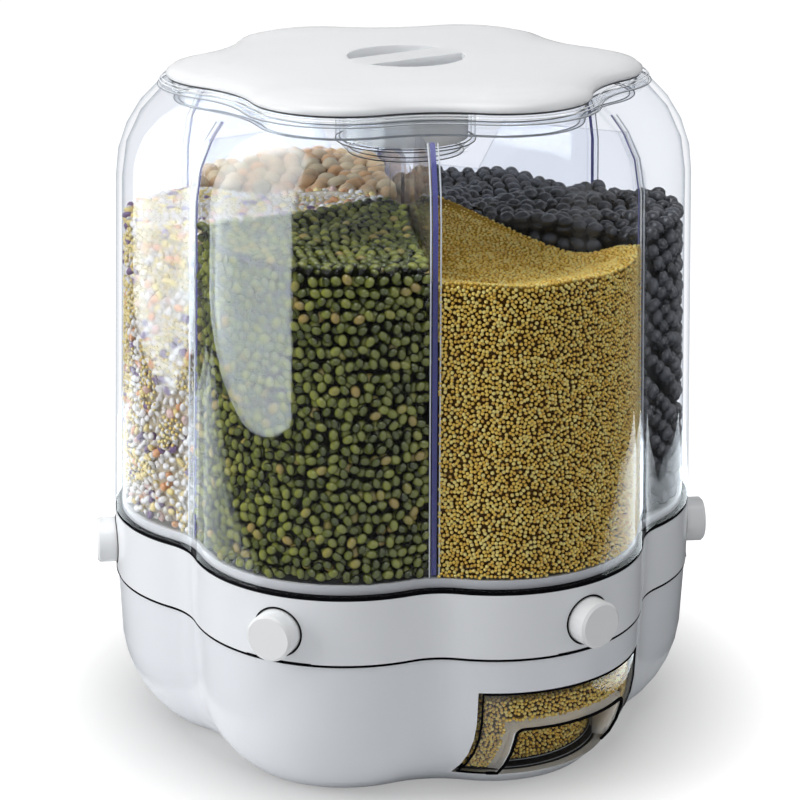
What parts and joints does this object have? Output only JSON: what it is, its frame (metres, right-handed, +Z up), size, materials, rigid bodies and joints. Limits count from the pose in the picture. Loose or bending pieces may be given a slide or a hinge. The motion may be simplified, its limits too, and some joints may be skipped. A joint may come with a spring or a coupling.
{
  "type": "rotating grain dispenser",
  "caption": "Six-lobed clear bucket with a vane divider that turns on a lobed white base with push buttons, a pull-out cup and a grip lid.",
  "frame": {"origin": "on the table under the turning axis", "axes": "+Z up along the turning axis, -Y towards the pull-out cup"},
  "size_m": [0.2394, 0.2664, 0.285],
  "materials": {
    "white_base": "satin white moulded plastic",
    "white_inner": "plain white inner moulding",
    "dark_bay": "dark grey inner moulding",
    "white_collar": "satin white moulded plastic",
    "white_button": "glossy white plastic",
    "white_gate": "plain white plastic",
    "white_lid": "satin white moulded plastic",
    "clear_bucket": "clear moulded plastic",
    "clear_divider": "clear moulded plastic",
    "clear_lid": "clear moulded plastic",
    "clear_cup": "clear moulded plastic",
    "black_gasket": "black rubber",
    "grey_seal": "dark grey silicone",
    "rubber_feet": "dark grey rubber",
    "glide_plastic": "off-white low-friction plastic",
    "steel": "zinc-plated steel",
    "spring_steel": "spring steel"
  },
  "bodies": {
    "base": {"base_bowl": "white_base", "feet": "rubber_feet", "base_screws": "steel", "base_deck": "white_inner", "glides": "glide_plastic", "cup_bay": "dark_bay", "pivot_keeper": "steel", "pivot_screw": "steel"},
    "bucket": {"gate_plate": "white_inner", "tray": "white_inner", "collar": "white_collar", "gasket": "black_gasket", "bucket_shell": "clear_bucket", "divider": "clear_divider"},
    "push_1": {"button_1": "white_button", "gate_1": "white_gate", "spring_1": "spring_steel"},
    "push_2": {"button_2": "white_button", "gate_2": "white_gate", "spring_2": "spring_steel"},
    "push_3": {"button_3": "white_button", "gate_3": "white_gate", "spring_3": "spring_steel"},
    "push_4": {"button_4": "white_button", "gate_4": "white_gate", "spring_4": "spring_steel"},
    "push_5": {"button_5": "white_button", "gate_5": "white_gate", "spring_5": "spring_steel"},
    "push_6": {"button_6": "white_button", "gate_6": "white_gate", "spring_6": "spring_steel"},
    "lid": {"lid_cover": "white_lid", "lid_body": "clear_lid", "lid_seal": "grey_seal"},
    "cup_body": {"cup": "clear_cup"}
  },
  "joints": [
    {"name": "bucket_turn", "type": "hinge", "parent": "base", "child": "bucket", "pos_m": [0, 0, 0.07], "axis": [0, 0, 1], "continuous": true},
    {"name": "button_1_press", "type": "slide", "parent": "bucket", "child": "push_1", "axis": [0, 1, 0], "range_m": [0, 0.007], "stiffness_N_per_m": 300, "springref_m": -0.003, "deforming": ["spring_1"]},
    {"name": "button_2_press", "type": "slide", "parent": "bucket", "child": "push_2", "axis": [-0.866, 0.5, 0], "range_m": [0, 0.007], "stiffness_N_per_m": 300, "springref_m": -0.003, "deforming": ["spring_2"]},
    {"name": "button_3_press", "type": "slide", "parent": "bucket", "child": "push_3", "axis": [-0.866, -0.5, 0], "range_m": [0, 0.007], "stiffness_N_per_m": 300, "springref_m": -0.003, "deforming": ["spring_3"]},
    {"name": "button_4_press", "type": "slide", "parent": "bucket", "child": "push_4", "axis": [0, -1, 0], "range_m": [0, 0.007], "stiffness_N_per_m": 300, "springref_m": -0.003, "deforming": ["spring_4"]},
    {"name": "button_5_press", "type": "slide", "parent": "bucket", "child": "push_5", "axis": [0.866, -0.5, 0], "range_m": [0, 0.007], "stiffness_N_per_m": 300, "springref_m": -0.003, "deforming": ["spring_5"]},
    {"name": "button_6_press", "type": "slide", "parent": "bucket", "child": "push_6", "axis": [0.866, 0.5, 0], "range_m": [0, 0.007], "stiffness_N_per_m": 300, "springref_m": -0.003, "deforming": ["spring_6"]},
    {"name": "lid_lift", "type": "slide", "parent": "bucket", "child": "lid", "axis": [0, 0, 1], "range_m": [0, 0.06]},
    {"name": "cup_pull", "type": "slide", "parent": "base", "child": "cup_body", "axis": [0, -1, 0], "range_m": [0, 0.09]}
  ]
}
